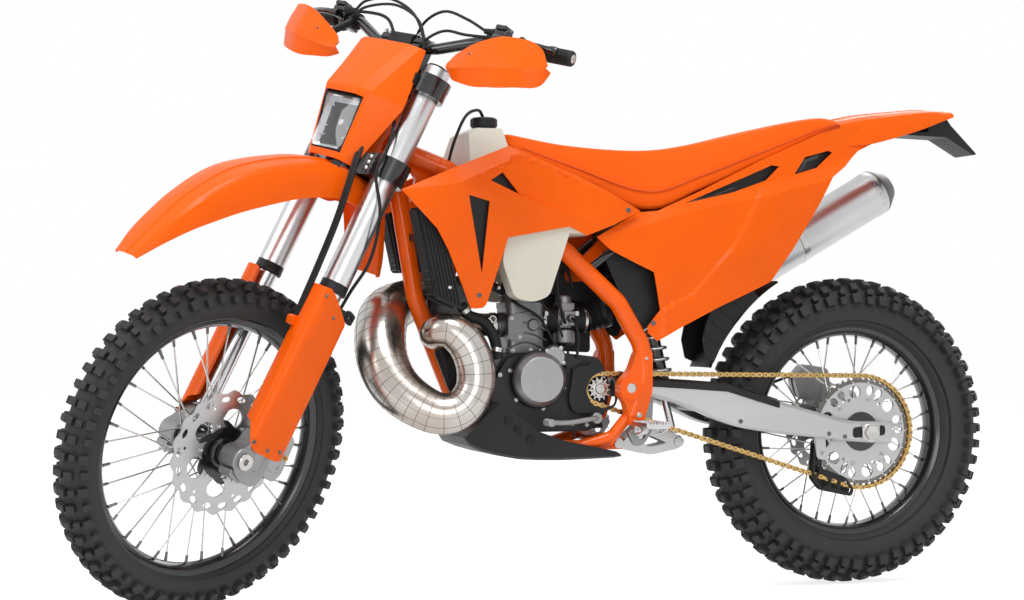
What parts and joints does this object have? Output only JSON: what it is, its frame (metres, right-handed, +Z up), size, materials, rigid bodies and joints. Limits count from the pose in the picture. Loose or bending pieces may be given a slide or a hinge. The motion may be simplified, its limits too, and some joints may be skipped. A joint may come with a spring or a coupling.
{
  "type": "enduro motorcycle",
  "caption": "Two-stroke enduro dirt bike with knobbly tyres, upside-down fork, expansion chamber exhaust, headlight mask, hand guards and chain drive; the front wheel is turned left.",
  "frame": {"origin": "the rider's place on top of the seat, above the footpegs; the ground is 0.974 m below", "axes": "+X forward, +Y to the rider's left, +Z up"},
  "size_m": [2.1517, 0.7563, 1.317],
  "materials": {
    "orange_frame": "satin",
    "orange_plastic": "gloss",
    "black_plastic": "matt",
    "tank_plastic": "satin, slightly see-through",
    "seat_cover": "matt grip cover",
    "steel": "brushed",
    "pipe_steel": "bare brushed steel with weld seams",
    "aluminium": "satin",
    "silver_tube": "satin",
    "black_metal": "satin",
    "engine_dark": "cast",
    "rubber": "matt",
    "tyre": "matt",
    "clear_lens": "clear",
    "gold_chain": "plated"
  },
  "bodies": {
    "chassis": {"frame": "orange_frame", "subframe": "black_metal", "engine_case": "engine_dark", "engine_covers": "aluminium", "cylinder": "aluminium", "carburettor": "aluminium", "exhaust_pipe": "pipe_steel", "silencer": "aluminium", "fuel_tank": "tank_plastic", "tank_cap": "black_plastic", "radiators": "black_metal", "shrouds": "orange_plastic", "side_panels": "orange_plastic", "seat": "seat_cover", "airbox": "black_plastic", "rear_fender": "orange_plastic", "plate_holder": "black_plastic", "mud_flap": "black_plastic", "skid_plate": "black_plastic", "shock": "steel", "linkage": "aluminium", "swingarm": "aluminium", "rear_axle": "steel", "chain": "gold_chain", "countershaft_sprocket": "steel", "chain_guides": "black_plastic", "rear_caliper": "aluminium", "footpegs": "steel", "foot_levers": "aluminium", "coolant_hose": "rubber"},
    "steering": {"fork_tubes": "silver_tube", "fork_legs": "steel", "front_axle": "steel", "lower_clamp": "black_metal", "upper_clamp": "black_metal", "handlebar": "black_metal", "grips": "rubber", "controls": "black_metal", "handguards": "orange_plastic", "fork_guards": "orange_plastic", "headlight_mask": "orange_plastic", "headlight": "clear_lens", "front_fender": "orange_plastic", "front_caliper": "aluminium", "front_cables": "rubber"},
    "front_wheel": {"front_tyre": "tyre", "front_rim": "black_metal", "front_hub": "black_metal", "front_disc": "steel"},
    "rear_wheel": {"rear_tyre": "tyre", "rear_rim": "black_metal", "rear_hub": "black_metal", "rear_disc": "steel", "rear_sprocket": "aluminium"}
  },
  "joints": [
    {"name": "steering", "type": "hinge", "parent": "chassis", "child": "steering", "pos_m": [0.8541, 0, -0.6482], "axis": [-0.4399, 0, 0.898], "range_deg": [-73.8, 16.2]},
    {"name": "front_wheel", "type": "hinge", "parent": "steering", "child": "front_wheel", "pos_m": [0.89738, 0.0265, -0.627], "axis": [-0.4326, 0.8763, -0.2119], "continuous": true},
    {"name": "rear_wheel", "type": "hinge", "parent": "chassis", "child": "rear_wheel", "pos_m": [-0.5835, 0, -0.624], "axis": [0, 1, 0], "continuous": true}
  ]
}
